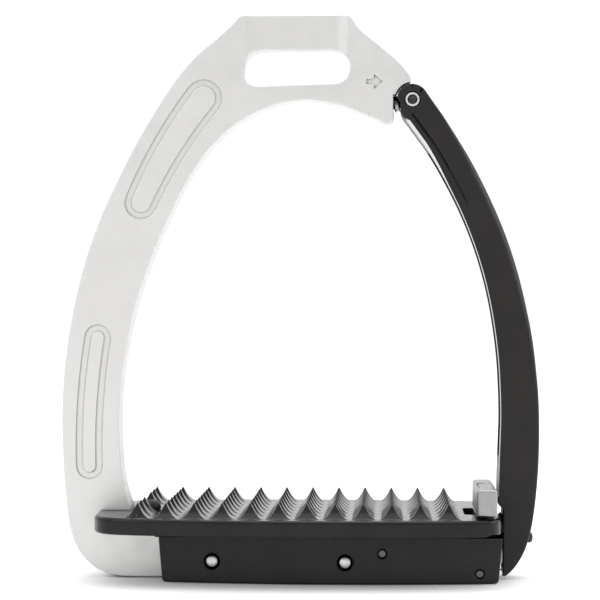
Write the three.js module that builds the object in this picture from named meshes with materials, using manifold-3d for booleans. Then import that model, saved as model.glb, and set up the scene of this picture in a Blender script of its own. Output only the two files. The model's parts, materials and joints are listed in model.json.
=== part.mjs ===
// Left-hand safety stirrup iron. Millimetres. X runs across the stirrup towards its opening outer
// branch, +Y away from the viewer who faces the front, +Z up. The base stands on z = 0.
import * as THREE from "three";
import { mergeVertices } from "three/addons/utils/BufferGeometryUtils.js";
import Module from "manifold-3d";

const wasm = await Module();
wasm.setup();

// ---------------------------------------------------------------- driving dimensions

const FRAME_HALF = 5; // half thickness of the frame plate
const TOP = 177.1; // height of the frame
const BEAM_TOP = 15.3; // top of the bottom beam
const BEAM_END = 59; // outer end of the bottom beam

const EYE = { left: -18.7, right: 15.1, bottom: 154.7, top: 166.2, rise: 0.7 };
const BAR_RELIEF = { left: -14, right: 10.6, depth: 0.8, ramp: 4 };
const GROOVE_DEPTH = 0.5;

const HINGE = { x: 34.7, z: 150.3 };
const HINGE_PIN_R = 1.6;
const KNUCKLE_R = 4.9;
const HINGE_RECESS_R = 5.4; // hollow of the frame round the knuckle
const EAR_GAP_R = 5.7;
const STUD_TILT = THREE.MathUtils.degToRad(12); // the stud runs down into the frame
const STUD_EYE = { r: 4.2, half: 2.2 };

const ARM_HALF = 6; // half depth of the outer branch
const EAR_GAP_HALF = 2.9; // half of the slot between the two hinge ears
const STRIKER_SCREW_Z = 12.6;
const BUMPER_Z = 18.4;

const TREAD = { bottom: 15.8, top: 21, left: -64, right: 61.5, half: 33.3 };
const TOOTH = { columns: 12, rows: 7, pitch: 8.6, height: 4.9, centreX: -1.95 };
const TREAD_HOLE_X = -48.4;
const LEVER_SLOT = { left: 50.7, right: 60.2, front: -13, back: 7 };

const HOUSING = { left: -44.3, right: 62.4, top: 15.5, draft: 1.2, wall: 2.4 };
const HOUSING_INNER_Y = 5.3; // the shells stand this far from the middle plane
const HOUSING_BOW = { ends: 15.2, middle: 19.5 };

const CROSS_PINS = { left: { x: -27.3, z: 6.7 }, right: { x: 13.8, z: 6.7 } };
const CROSS_PIN_R = 2.15;
const SMALL_PIN_R = 1.25;
const PIVOT = { x: 55.2, z: 3.05 }; // the release lever turns on this pin
const SPRING_PIN = { x: 25.2, z: 9.5 };
const PLUNGER_Z = 9.5;
const BORE_R = 3.1; // the plunger's bore in the beam
const BASE_SCREW_XS = { left: -10, right: 19.5 };
const SCREW_HOLE_R = 1.9; // clearance round a screw's shank
const BASE_COUNTERBORE = { r: 3.3, depth: 3.8 };
const TREAD_SCREW_HEAD = { r: 3.3, height: 2.9 };
const TREAD_SCREW_ROOM_R = 5.6; // no teeth stand within this radius of the tread's screw

const GAP = 0.3; // room kept between pieces that touch
const PIN_PLAY = 0.15; // radial play of a turning pin
const THROUGH = 9; // half length of a hole that goes right through the frame or the branch

// ---------------------------------------------------------------- materials

const finish = (color, metalness, roughness) =>
  new THREE.MeshStandardMaterial({ color, metalness, roughness });
const SILVER = finish(0xd8d8d8, 1, 0.42);
const BLACK = finish(0x2b2b2c, 0.9, 0.4);
const BLACK_TREAD = finish(0x262627, 0.8, 0.35);
const STEEL = finish(0xb9bcbe, 1, 0.28);
const BLACK_STEEL = finish(0x2a2a2a, 0.8, 0.45);
const SPRING_STEEL = finish(0x8d9093, 1, 0.3);
const NYLON = finish(0xe8e6df, 0, 0.5);
const RUBBER = finish(0x1c1c1c, 0, 0.85);

// ---------------------------------------------------------------- helpers

// A closed three.js geometry as a manifold solid.
function solid(geometry) {
  const bare = geometry.index ? geometry.toNonIndexed() : geometry.clone();
  const points = new THREE.BufferGeometry();
  points.setAttribute("position", bare.getAttribute("position"));
  const merged = mergeVertices(points, 1e-4);
  return new wasm.Manifold(
    new wasm.Mesh({
      numProp: 3,
      vertProperties: merged.attributes.position.array,
      triVerts: new Uint32Array(merged.index.array),
    }),
  );
}

const join = (first, ...others) => others.reduce((sum, next) => sum.add(next), first);
const cut = (body, ...tools) => tools.reduce((left, tool) => left.subtract(tool), body);

// A named mesh from a manifold solid or a three.js geometry.
function piece(name, shape, material) {
  if (shape.isBufferGeometry) return named(name, shape, material);
  const mesh = shape.getMesh();
  const geometry = new THREE.BufferGeometry();
  geometry.setAttribute("position", new THREE.Float32BufferAttribute(mesh.vertProperties, 3));
  geometry.setIndex(new THREE.Uint32BufferAttribute(mesh.triVerts, 1));
  const flat = geometry.toNonIndexed();
  flat.computeVertexNormals();
  return named(name, flat, material);
}

function named(name, geometry, material) {
  const mesh = new THREE.Mesh(geometry, material);
  mesh.name = name;
  return mesh;
}

// A plate with a front-view outline (x, z), between two values of y, with chamfered edges.
function plate(shape, front, back, edge = 0, curveSegments = 6) {
  const bevel = edge
    ? { bevelEnabled: true, bevelSize: edge, bevelThickness: edge, bevelOffset: -edge, bevelSegments: 1 }
    : { bevelEnabled: false };
  const depth = back - front - 2 * edge;
  const geometry = new THREE.ExtrudeGeometry(shape, { depth, curveSegments, ...bevel });
  return solid(geometry.rotateX(Math.PI / 2).translate(0, back - edge, 0));
}

// A slab with a plan outline (x, y), between two values of z.
function slab(shape, bottom, top, edge = 0, curveSegments = 8) {
  const bevel = edge
    ? { bevelEnabled: true, bevelSize: edge, bevelThickness: edge, bevelOffset: -edge, bevelSegments: 1 }
    : { bevelEnabled: false };
  const depth = top - bottom - 2 * edge;
  const geometry = new THREE.ExtrudeGeometry(shape, { depth, curveSegments, ...bevel });
  return solid(geometry.translate(0, 0, bottom + edge));
}

function block(x0, x1, y0, y1, z0, z1) {
  const geometry = new THREE.BoxGeometry(x1 - x0, y1 - y0, z1 - z0);
  return solid(geometry.translate((x0 + x1) / 2, (y0 + y1) / 2, (z0 + z1) / 2));
}

// Round bars along each axis. A lathe profile is a list of [radius, distance along the axis].
function turned(profile, sides) {
  const points = profile.map(([r, along]) => new THREE.Vector2(r, along));
  return new THREE.LatheGeometry(points, sides);
}
const turnedY = (profile, x, z, sides = 20) => solid(turned(profile, sides).translate(x, 0, z));
const turnedX = (profile, y, z, sides = 20) =>
  solid(turned(profile, sides).rotateZ(-Math.PI / 2).translate(0, y, z));
const turnedZ = (profile, x, y, sides = 20) =>
  solid(turned(profile, sides).rotateX(Math.PI / 2).translate(x, y, 0));
const bar = (r, from, to) => [[0, from], [r, from], [r, to], [0, to]];
const rodY = (r, from, to, x, z, sides) => turnedY(bar(r, from, to), x, z, sides);
const rodX = (r, from, to, y, z, sides) => turnedX(bar(r, from, to), y, z, sides);
const rodZ = (r, from, to, x, y, sides) => turnedZ(bar(r, from, to), x, y, sides);

const outline = (pairs) => pairs.map(([a, b]) => new THREE.Vector2(a, b));
const polygon = (pairs) => new THREE.Shape(outline(pairs));

// A screw along +Z: its head's top is at z = 0 and its shank hangs below, with a hexagon socket.
function socketScrew(headR, headHeight, shankR, length, socketR) {
  const edge = 0.25;
  const body = [[0, -length], [shankR, -length], [shankR, -headHeight], [headR, -headHeight],
    [headR, -edge], [headR - edge, 0], [0, 0]];
  const hexagon = rodZ(socketR, -0.6 * headHeight, 1, 0, 0, 6);
  return turnedZ(body, 0, 0).subtract(hexagon);
}

// ---------------------------------------------------------------- frame

function frameOutline() {
  const s = new THREE.Shape();
  s.moveTo(14.4, TOP);
  s.lineTo(-18.4, TOP);
  s.quadraticCurveTo(-19.9, TOP, -20.9, 175.5);
  s.splineThru(outline([[-23.7, 172.7], [-27.5, 169.3], [-31.8, 165.8], [-37.6, 159.8],
    [-44.2, 150.5], [-51.8, 137.9], [-58.4, 125], [-64.2, 112], [-69, 98], [-72.6, 82.5],
    [-74.8, 68], [-75.8, 55], [-75.8, 43], [-75, 28], [-73.5, 16], [-70.8, 8.6],
    [-66, 3.4], [-59.7, 0.6], [-53, 0]]));
  s.lineTo(BEAM_END, 0);
  s.lineTo(BEAM_END, BEAM_TOP);
  s.lineTo(-53.6, BEAM_TOP);
  s.lineTo(-54, 21.6);
  s.splineThru(outline([[-56.2, 29], [-57.4, 38], [-57.8, 50], [-57.1, 62], [-55.1, 75],
    [-52.1, 87.4], [-47.7, 100], [-42.5, 112.5], [-36.4, 124.6], [-30, 134], [-23.8, 140.4],
    [-17, 145.2], [-8, 149.1], [1.6, 150.4], [11.5, 148.9], [21.4, 145.1]]));
  s.lineTo(25.6, 143.1);
  s.quadraticCurveTo(27.4, 142.3, 28.4, 143.6);
  s.quadraticCurveTo(29, 144.6, 28.7, 146.4);
  s.lineTo(28.7, 151.9);
  s.absarc(HINGE.x, HINGE.z, HINGE_RECESS_R, 2.82, 1.72, true);
  s.splineThru(outline([[34.3, 157], [32.8, 159.4], [29.6, 162.9], [26, 166], [22.2, 169.1],
    [19.2, 171.6], [17.2, 173.7], [16, 175.7]]));
  s.lineTo(14.4, TOP);
  s.holes.push(eyeOutline());
  return s;
}

// The slot for the stirrup leather. Its lower edge rises a little towards the opening side.
function eyeOutline() {
  const { left, right, bottom, top, rise } = EYE;
  const p = new THREE.Path();
  p.moveTo(left, 160);
  p.bezierCurveTo(left, 163.5, left + 2.2, top, left + 6.4, top);
  p.lineTo(right - 5, top);
  p.bezierCurveTo(right - 2, top, right, 164.2, right, 161.2);
  p.bezierCurveTo(right, 157.8, right - 2, bottom + rise, right - 5, bottom + rise);
  p.lineTo(left + 4.8, bottom);
  p.bezierCurveTo(left + 1.6, bottom, left, 156.6, left, 160);
  return p;
}

// The band of even width around a curved centre line, with round ends.
function stadium(line, radiusAt, steps = 14) {
  const side = (from, to, sign) =>
    Array.from({ length: steps + 1 }, (_, i) => {
      const t = from + ((to - from) * i) / steps;
      const along = line.getTangent(t);
      const at = line.getPoint(t);
      const r = radiusAt(t) * sign;
      return [at.x - along.y * r, at.y + along.x * r];
    });
  const cap = (t, startSign) => {
    const at = line.getPoint(t);
    const along = line.getTangent(t);
    const first = Math.atan2(along.x * startSign, -along.y * startSign);
    return Array.from({ length: 9 }, (_, i) => {
      const angle = first - (Math.PI * (i + 1)) / 10;
      return [at.x + radiusAt(t) * Math.cos(angle), at.y + radiusAt(t) * Math.sin(angle)];
    });
  };
  return polygon([...side(0, 1, 1), ...cap(1, 1), ...side(1, 0, -1), ...cap(0, -1)]);
}

// A shallow groove in the front face, the ring between two stadiums.
function grooveTool(line, outerAt, width) {
  const outer = plate(stadium(line, outerAt), -FRAME_HALF - 1, -FRAME_HALF + GROOVE_DEPTH);
  const island = plate(stadium(line, (t) => outerAt(t) - width), -FRAME_HALF - 2, 0);
  return outer.subtract(island);
}

function grooveTools() {
  const upper = new THREE.QuadraticBezierCurve(
    new THREE.Vector2(-31.1, 151), new THREE.Vector2(-43, 135.9), new THREE.Vector2(-50.9, 118.1));
  const lower = new THREE.QuadraticBezierCurve(
    new THREE.Vector2(-64.6, 75.5), new THREE.Vector2(-67.9, 55), new THREE.Vector2(-67.2, 35));
  return [
    grooveTool(upper, (t) => 5.95 - 0.75 * t, 2.2),
    grooveTool(lower, () => 4.2, 2.2),
  ];
}

// A small engraved arrow that points to the opening side.
function sideMarkTool() {
  const arrow = polygon([[20.2, 155.2], [22.6, 155.2], [22.6, 153.6], [25.4, 156], [22.6, 158.4],
    [22.6, 156.8], [20.2, 156.8]]);
  return plate(arrow, -FRAME_HALF - 1, -FRAME_HALF + GROOVE_DEPTH);
}

// The bar above the eye is thinned on both faces where the leather lies, with a ramp at each end.
function barReliefTools() {
  const { left, right, depth, ramp } = BAR_RELIEF;
  const front = -FRAME_HALF;
  const plan = [[left - ramp, front - 1], [right + ramp, front - 1], [right + ramp, front],
    [right + 0.35 * ramp, front + 0.7 * depth], [right, front + depth], [left, front + depth],
    [left - 0.35 * ramp, front + 0.7 * depth], [left - ramp, front]];
  const low = EYE.top - 4;
  const tool = slab(polygon(plan), low, TOP + 2);
  const mirrored = slab(polygon(plan.map(([x, y]) => [x, -y]).reverse()), low, TOP + 2);
  return [tool, mirrored];
}

// Turns a solid made along X at the pin's centre down along the stud.
const alongStud = (shape) =>
  shape.rotate([0, THREE.MathUtils.radToDeg(-STUD_TILT), 0]).translate([HINGE.x, 0, HINGE.z]);

function frameSolid() {
  const body = plate(frameOutline(), -FRAME_HALF, FRAME_HALF);
  const studHole = alongStud(rodX(1.8, -13, -4, 0, 0));
  const collarSeat = alongStud(rodX(2.95, -6.3, 0, 0, 0));
  const leverRoom = block(50.2, BEAM_END + 1, -3.5, 3.5, -1, BEAM_TOP + 1);
  const bore = rodX(BORE_R, 21.5, 51, 0, PLUNGER_Z);
  const crossHoles = Object.values(CROSS_PINS).map((p) =>
    rodY(CROSS_PIN_R + GAP, -THROUGH, THROUGH, p.x, p.z));
  const pinHoles = [PIVOT, SPRING_PIN].map((p) =>
    rodY(SMALL_PIN_R + PIN_PLAY, -THROUGH, THROUGH, p.x, p.z));
  const topScrewHole = rodZ(SCREW_HOLE_R, BEAM_TOP - 9, BEAM_TOP + 3, TREAD_HOLE_X, 0);
  const baseHoles = Object.values(BASE_SCREW_XS).flatMap((x) => [
    rodZ(SCREW_HOLE_R, -1, BEAM_TOP + 1, x, 0),
    rodZ(BASE_COUNTERBORE.r, -1, BASE_COUNTERBORE.depth, x, 0)]);
  return cut(body, ...grooveTools(), sideMarkTool(), ...barReliefTools(), studHole, collarSeat,
    leverRoom, bore, ...crossHoles, ...pinHoles, topScrewHole, ...baseHoles);
}

// ---------------------------------------------------------------- hinge

// An eye on a threaded stud: the eye sits between the arm's ears, the shank in the frame.
function hingeStud() {
  const eye = rodY(STUD_EYE.r, -STUD_EYE.half, STUD_EYE.half, HINGE.x, HINGE.z, 32);
  const shank = alongStud(rodX(1.45, -12.4, 0, 0, 0, 20));
  const hole = rodY(HINGE_PIN_R + PIN_PLAY, -THROUGH, THROUGH, HINGE.x, HINGE.z);
  return join(eye, shank).subtract(hole);
}

function hingeCollar() {
  const ring = [[1.75, -6], [2.4, -6], [2.65, -5.75], [2.65, -4.6], [2.4, -4.35],
    [1.75, -4.35], [1.75, -6]];
  return alongStud(turnedX(ring, 0, 0));
}

const PIN_HEAD = { r: 2.3, deep: 1.6, sunk: 0.15, socketR: 1.5, socketDepth: 1.1, edge: 0.25 };

// A shoulder screw: round socket head in the front ear, shank through the eye.
function hingePin() {
  const { r, deep, sunk, socketR, socketDepth, edge } = PIN_HEAD;
  const front = -ARM_HALF + sunk;
  const shoulder = front + deep - GAP;
  const thread = { r: 1.1, from: 3.4, to: 5.3 };
  const profile = [[0, front + socketDepth], [socketR, front + socketDepth], [socketR, front],
    [r - edge, front], [r, front + edge], [r, shoulder], [HINGE_PIN_R, shoulder],
    [HINGE_PIN_R, thread.from], [thread.r, thread.from], [thread.r, thread.to], [0, thread.to]];
  return turnedY(profile, HINGE.x, HINGE.z, 32);
}

function hingePinNut() {
  const { r, sunk, edge } = PIN_HEAD;
  const back = ARM_HALF - sunk;
  const nut = { bore: 1.35, height: 1.9 };
  const profile = [[nut.bore, back - nut.height], [r, back - nut.height], [r, back - edge],
    [r - edge, back], [nut.bore, back], [nut.bore, back - nut.height]];
  return turnedY(profile, HINGE.x, HINGE.z);
}

function hingeWasher(side) {
  const clearance = 0.1;
  const near = side * (STUD_EYE.half + clearance);
  const far = side * (EAR_GAP_HALF - clearance);
  const [low, high] = [Math.min(near, far), Math.max(near, far)];
  const [inner, outer] = [HINGE_PIN_R + 0.2, 3.7];
  return turnedY([[inner, low], [outer, low], [outer, high], [inner, high], [inner, low]],
    HINGE.x, HINGE.z);
}

// ---------------------------------------------------------------- outer branch

function armOutline() {
  const s = new THREE.Shape();
  s.moveTo(38.94, 152.75);
  s.absarc(HINGE.x, HINGE.z, KNUCKLE_R, 0.523, 3.02, false);
  s.lineTo(30.9, 149.3);
  s.lineTo(31, 147.4);
  s.quadraticCurveTo(31, 146.2, 31.6, 145);
  s.splineThru(outline([[35.5, 139.6], [39.5, 134], [44, 126.4], [48.8, 117.1], [52.8, 107.7],
    [56, 98.2], [58.4, 88.8], [60.1, 79.4], [61.3, 69.8], [61.9, 60], [62.1, 51], [61.8, 42],
    [61.5, 33], [61.3, 24.4]]));
  s.quadraticCurveTo(61.3, 22.9, 62.9, 22.5);
  s.lineTo(62.9, 1.7);
  s.quadraticCurveTo(62.9, 0.6, 64, 1.2);
  s.splineThru(outline([[65.4, 2.4], [67.2, 4.5], [69.1, 7.6], [70.5, 11], [71.9, 16.4],
    [73.1, 24.5], [74, 35], [74.3, 46], [74.1, 56], [73.4, 65], [72.2, 75.2], [70.1, 86.2],
    [67.2, 97.8], [63.2, 109.6], [58.1, 121.3], [52.5, 132], [45.4, 143.4], [41.4, 149.2]]));
  s.lineTo(38.94, 152.75);
  return s;
}

// A long pocket milled into the inner side of the branch, following its inner edge.
function armPocket() {
  const s = new THREE.Shape();
  s.moveTo(30, 134);
  s.lineTo(40.5, 134);
  s.splineThru(outline([[48.6, 126], [56.4, 108], [61.4, 90.5], [65, 70], [66.2, 52], [65.6, 41]]));
  s.quadraticCurveTo(65, 38, 58, 38);
  s.lineTo(30, 38);
  s.lineTo(30, 134);
  return plate(s, -4.4, 4.4);
}

function armSolid() {
  const body = plate(armOutline(), -ARM_HALF, ARM_HALF);
  const earGap = rodY(EAR_GAP_R, -EAR_GAP_HALF, EAR_GAP_HALF, HINGE.x, HINGE.z, 40);
  const pinHole = rodY(HINGE_PIN_R + PIN_PLAY, -THROUGH, THROUGH, HINGE.x, HINGE.z);
  const seatR = PIN_HEAD.r + 0.2;
  const headSeat = rodY(seatR, -THROUGH, -ARM_HALF + PIN_HEAD.deep, HINGE.x, HINGE.z);
  const nutSeat = rodY(seatR, ARM_HALF - 2.3, THROUGH, HINGE.x, HINGE.z);
  const strikerSeat = block(60, 66.8, -3.2, 3.2, 3.2, 14.8);
  const screwHole = rodX(1.35, 64, 74, 0, STRIKER_SCREW_Z, 20);
  const screwFace = rodX(2, 71, 76, 0, STRIKER_SCREW_Z, 20);
  const bumperHole = rodX(1.5, 60, 65.5, 0, BUMPER_Z, 20);
  return cut(body, armPocket(), earGap, pinHole, headSeat, nutSeat, strikerSeat, screwHole,
    screwFace, bumperHole);
}

// Steel catch in the end of the branch: a seat plate and a tongue with a small upward tooth.
function striker() {
  const profile = polygon([[64.9, 3.5], [66.5, 3.5], [66.5, 14.5], [64.9, 14.5], [64.9, 9],
    [62.5, 9], [62.1, 10.24], [61.3, 10], [60.6, 9], [60.6, 4.8], [64.9, 4.8]]);
  const screwHole = rodX(1.3, 64, 67, 0, STRIKER_SCREW_Z, 16);
  return plate(profile, -2.8, 2.8).subtract(screwHole);
}

function strikerScrew() {
  const profile = [[0, 66.3], [1.1, 66.3], [1.1, 71.1], [1.75, 71.1], [1.75, 71.6], [1.5, 72.2],
    [0.9, 72.55], [0, 72.7]];
  return turnedX(profile, 0, STRIKER_SCREW_Z, 20);
}

function armBumper() {
  const profile = [[0, 61.8], [1.6, 61.8], [2, 62.1], [2, 62.65], [1.2, 62.65], [1.2, 65],
    [0, 65]];
  return turnedX(profile, 0, BUMPER_Z, 24);
}

// ---------------------------------------------------------------- tread

// Plan outline: bowed long sides, round corners, and a notch around the inner branch.
function treadOutline() {
  const { left, right, half } = TREAD;
  const notch = { x: -53.3, y: FRAME_HALF + GAP };
  const s = new THREE.Shape();
  s.moveTo(left, -notch.y);
  s.lineTo(left, -14);
  s.bezierCurveTo(left, -23, left + 3.4, -26.6, left + 11.5, -28.3);
  s.bezierCurveTo(-34, -32, -18, -half, 6, -half);
  s.bezierCurveTo(22, -half, 40, -half + 1.2, 53, -half + 3);
  s.bezierCurveTo(58, -half + 3.9, right, -27, right, -21);
  s.lineTo(right, 21);
  s.bezierCurveTo(right, 27, 58, half - 3.9, 53, half - 3);
  s.bezierCurveTo(40, half - 1.2, 22, half, 6, half);
  s.bezierCurveTo(-18, half, -34, 32, left + 11.5, 28.3);
  s.bezierCurveTo(left + 3.4, 26.6, left, 23, left, 14);
  s.lineTo(left, notch.y);
  s.lineTo(notch.x, notch.y);
  s.lineTo(notch.x, -notch.y);
  s.lineTo(left, -notch.y);
  return s;
}

// One tooth: a square spike with hollow flanks, in two straight stages.
function tooth(x, y) {
  const stages = [[3.9, -0.6], [3.9, 0], [1.7, 1.4], [0.4, TOOTH.height]];
  const profile = [[0, stages[0][1]], ...stages, [0, TOOTH.height]];
  const points = profile.map(([half, z]) => new THREE.Vector2(half * Math.SQRT2, z));
  const spike = new THREE.LatheGeometry(points, 4, Math.PI / 4);
  return solid(spike.rotateX(Math.PI / 2).translate(x, y, TREAD.top));
}

function teeth() {
  const spikes = [];
  for (let column = 0; column < TOOTH.columns; column++)
    for (let row = 0; row < TOOTH.rows; row++) {
      const x = TOOTH.centreX + (column - (TOOTH.columns - 1) / 2) * TOOTH.pitch;
      const y = (row - (TOOTH.rows - 1) / 2) * TOOTH.pitch;
      const overTheScrew = column === 0 && row === (TOOTH.rows - 1) / 2;
      if (!overTheScrew) spikes.push(tooth(x, y));
    }
  return spikes;
}

// Pockets in the underside, outside the housing.
function undersidePockets() {
  const bays = [[-45, -22], [-19, 4], [7, 30], [33, 55]];
  const bay = { inner: 22, outer: 27.6, depth: 2.4 };
  return bays.flatMap(([x0, x1]) =>
    [-1, 1].map((side) => {
      const [y0, y1] = [bay.inner * side, bay.outer * side].sort((a, b) => a - b);
      return block(x0, x1, y0, y1, TREAD.bottom - 1, TREAD.bottom + bay.depth);
    }));
}

function treadSolid() {
  const deck = slab(treadOutline(), TREAD.bottom, TREAD.top, 0.5);
  const { left, right, front, back } = LEVER_SLOT;
  const slotR = 1.6;
  const slot = new THREE.Shape();
  slot.moveTo(left + slotR, front);
  slot.lineTo(right, front);
  slot.lineTo(right, back);
  slot.lineTo(left + slotR, back);
  slot.quadraticCurveTo(left, back, left, back - slotR);
  slot.lineTo(left, front + slotR);
  slot.quadraticCurveTo(left, front, left + slotR, front);
  const screwRoom = rodZ(TREAD_SCREW_ROOM_R, TREAD.top, TREAD.top + 8, TREAD_HOLE_X, 0, 36);
  const screwHole = rodZ(SCREW_HOLE_R, TREAD.bottom - 1, TREAD.top + 1, TREAD_HOLE_X, 0);
  const baseHoles = Object.values(BASE_SCREW_XS).map((x) =>
    rodZ(SCREW_HOLE_R, TREAD.bottom - 1, TREAD.top - 1.4, x, 0));
  const onDeck = slab(treadOutline(), TREAD.top - 1, TREAD.top + 8);
  const spikes = join(...teeth()).intersect(onDeck);
  return cut(join(deck, spikes), slab(slot, TREAD.bottom - 2, TREAD.top + 2), screwRoom,
    screwHole, ...baseHoles, ...undersidePockets());
}

// A button-head screw that stands on the tread, with a hexagon socket.
function treadScrewTop() {
  const { r, height } = TREAD_SCREW_HEAD;
  const shank = { r: 1.6, length: 12.6 };
  const profile = [[0, -shank.length], [shank.r, -shank.length], [shank.r, 0], [r, 0],
    [r, 0.35 * height], [0.9 * r, 0.7 * height], [0.65 * r, 0.93 * height], [0.4 * r, height],
    [0, height]];
  const socket = rodZ(1.25, 0.45 * height, height + 1, 0, 0, 6);
  return turnedZ(profile, 0, 0, 24).subtract(socket).translate([TREAD_HOLE_X, 0, TREAD.top + 0.1]);
}

// The base screws go up through the beam into the tread, heads down in their counterbores.
const treadScrewBase = (x) =>
  socketScrew(3, 3, 1.6, 18, 1.5).rotate([180, 0, 0]).translate([x, 0, 0.5]);

// ---------------------------------------------------------------- mechanism housing

// Plan outline of the front shell's outside, from the beam to the bowed face.
function housingPlan() {
  const { left, right } = HOUSING;
  const { ends, middle } = HOUSING_BOW;
  const s = new THREE.Shape();
  s.moveTo(left, -HOUSING_INNER_Y);
  s.lineTo(left, -ends + 1);
  s.quadraticCurveTo(left, -ends, left + 1, -ends - 0.15);
  s.quadraticCurveTo((left + right) / 2, -(2 * middle - ends), right - 1, -ends - 0.15);
  s.quadraticCurveTo(right, -ends, right, -ends + 1);
  s.lineTo(right, -HOUSING_INNER_Y);
  s.lineTo(left, -HOUSING_INNER_Y);
  return s;
}

// Front-view outline: the ends lean in towards the bottom, and the lower corners are round.
function housingFace(inset) {
  const { left, right, top, draft } = HOUSING;
  const [x0, x1] = [left + inset, right - inset];
  const bottom = inset;
  const r = 1.4;
  const s = new THREE.Shape();
  s.moveTo(x0, top - inset);
  s.lineTo(x0 + draft, bottom + r);
  s.quadraticCurveTo(x0 + draft, bottom, x0 + draft + r, bottom);
  s.lineTo(x1 - draft - r, bottom);
  s.quadraticCurveTo(x1 - draft, bottom, x1 - draft, bottom + r);
  s.lineTo(x1, top - inset);
  s.lineTo(x0, top - inset);
  return s;
}

const bowedFaceY = (x) => {
  const { left, right } = HOUSING;
  const t = (2 * x - left - right) / (right - left);
  return -(HOUSING_BOW.ends + (HOUSING_BOW.middle - HOUSING_BOW.ends) * (1 - t * t));
};

function housingShell(side) {
  const { wall } = HOUSING;
  const bossR = { cross: 4.1, small: 2.7 };
  const bossFront = (p) => bowedFaceY(p.x) + wall / 2;
  const body = slab(housingPlan(), 0, HOUSING.top, 0, 14).intersect(plate(housingFace(0), -30, 0));
  const inner = slab(housingPlan(), -1, HOUSING.top + 1, 0, 14)
    .translate([0, wall, 0])
    .intersect(plate(housingFace(wall), -30, 0));
  const throughPins = Object.values(CROSS_PINS);
  const bosses = throughPins.map((p) =>
    rodY(bossR.cross, bossFront(p), -HOUSING_INNER_Y, p.x, p.z));
  const pinBosses = [PIVOT, SPRING_PIN].map((p) =>
    rodY(bossR.small, bossFront(p), -HOUSING_INNER_Y, p.x, p.z));
  const walls = body.intersect(join(...bosses, ...pinBosses));
  const holes = throughPins.map((p) => rodY(CROSS_PIN_R + GAP, -30, 0, p.x, p.z));
  const pinHoles = [PIVOT, SPRING_PIN].map((p) => rodY(SMALL_PIN_R + PIN_PLAY, -30, 0, p.x, p.z));
  const pedalRoom = block(50, 61, LEVER_SLOT.front - 0.5, 0, 13.4, HOUSING.top + 1);
  const shell = cut(join(body.subtract(inner), walls), ...holes, ...pinHoles, pedalRoom);
  return side < 0 ? shell : shell.mirror([0, 1, 0]);
}

function crossPin({ x, z }) {
  const end = -bowedFaceY(x) - 0.2;
  const r = CROSS_PIN_R;
  const dome = [[0, -end], [0.55 * r, -end + 0.12], [0.9 * r, -end + 0.6], [r, -end + 1.1]];
  const profile = [...dome, ...dome.map(([radius, y]) => [radius, -y]).reverse()];
  return turnedY(profile, x, z, 24);
}

function smallPin({ x, z }) {
  const end = -bowedFaceY(x) - 0.35;
  const r = SMALL_PIN_R;
  const profile = [[0, -end], [r - 0.25, -end], [r, -end + 0.25], [r, end - 0.25],
    [r - 0.25, end], [0, end]];
  return turnedY(profile, x, z, 20);
}

// ---------------------------------------------------------------- release lever

const LEVER = { left: 54, right: 58, front: -11, back: 5 };
const PEDAL = { left: 53.9, right: 60, front: -28.3, back: 7.6, bottom: 21.8, top: 30.2 };
const PEDAL_SCREW = { x: 56.9, y: -7, headR: 1.8, headHeight: 1.6 };

// Front-view profile of the lever's lower leaf: a round foot, the stem, and the claw.
function leverLeaf() {
  const { left, right } = LEVER;
  const claw = { inner: 10.2, outer: 12.5, tip: THREE.MathUtils.degToRad(46) };
  const at = (r, angle) => [PIVOT.x + r * Math.cos(angle), PIVOT.z + r * Math.sin(angle)];
  const arc = (r, from, to) =>
    Array.from({ length: 7 }, (_, i) => at(r, from + ((to - from) * i) / 6));
  const rightAt = (r) => Math.acos((right - PIVOT.x) / r);
  const hook = [...arc(claw.inner, rightAt(claw.inner), claw.tip),
    ...arc(claw.outer, claw.tip, rightAt(claw.outer))];
  const foot = Array.from({ length: 13 }, (_, i) => at(2.6, Math.PI + (Math.PI * i) / 12));
  return polygon([[left, 16.6], [left, 6], ...foot, [right, 6], ...hook, [right, 16.6]]);
}

function releaseLever() {
  const leaf = plate(leverLeaf(), -3, 3);
  const stem = block(LEVER.left, LEVER.right, LEVER.front, LEVER.back, 16.2, PEDAL.bottom - 0.1);
  const pinHole = rodY(SMALL_PIN_R + PIN_PLAY, -THROUGH, THROUGH, PIVOT.x, PIVOT.z);
  const thread = rodZ(0.95, 17, 25, PEDAL_SCREW.x, PEDAL_SCREW.y, 16);
  return cut(join(leaf, stem), pinHole, thread);
}

// The pad that sticks up beside the foot, with rounded upper edges.
function pedal() {
  const { left, right, front, back, bottom, top } = PEDAL;
  const round = 1.3;
  const s = new THREE.Shape();
  s.moveTo(left, bottom);
  s.lineTo(right, bottom);
  s.lineTo(right, top - round);
  s.quadraticCurveTo(right, top, right - round, top);
  s.lineTo(left + round, top);
  s.quadraticCurveTo(left, top, left, top - round);
  s.lineTo(left, bottom);
  const body = plate(s, front, back, 0.6);
  const { x, y, headR } = PEDAL_SCREW;
  const seat = rodZ(headR + 0.25, top - 2.4, top + 1, x, y, 24);
  const hole = rodZ(1.3, bottom - 1, top, x, y, 16);
  return cut(body, seat, hole);
}

const pedalScrew = () =>
  socketScrew(PEDAL_SCREW.headR, PEDAL_SCREW.headHeight, 0.8, 11, 0.9)
    .translate([PEDAL_SCREW.x, PEDAL_SCREW.y, PEDAL.top - 0.5]);

// ---------------------------------------------------------------- plunger and spring

const SPRING = { from: 32.6, to: 45.4, coilR: 2.35, wireR: 0.38, turns: 6 };

function plunger() {
  const profile = [[0, 45.8], [2.8, 45.8], [2.8, 47.3], [2.1, 47.6], [2.1, 52.4], [1.6, 53.3],
    [0, 53.65]];
  return turnedX(profile, 0, PLUNGER_Z, 24);
}

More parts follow.
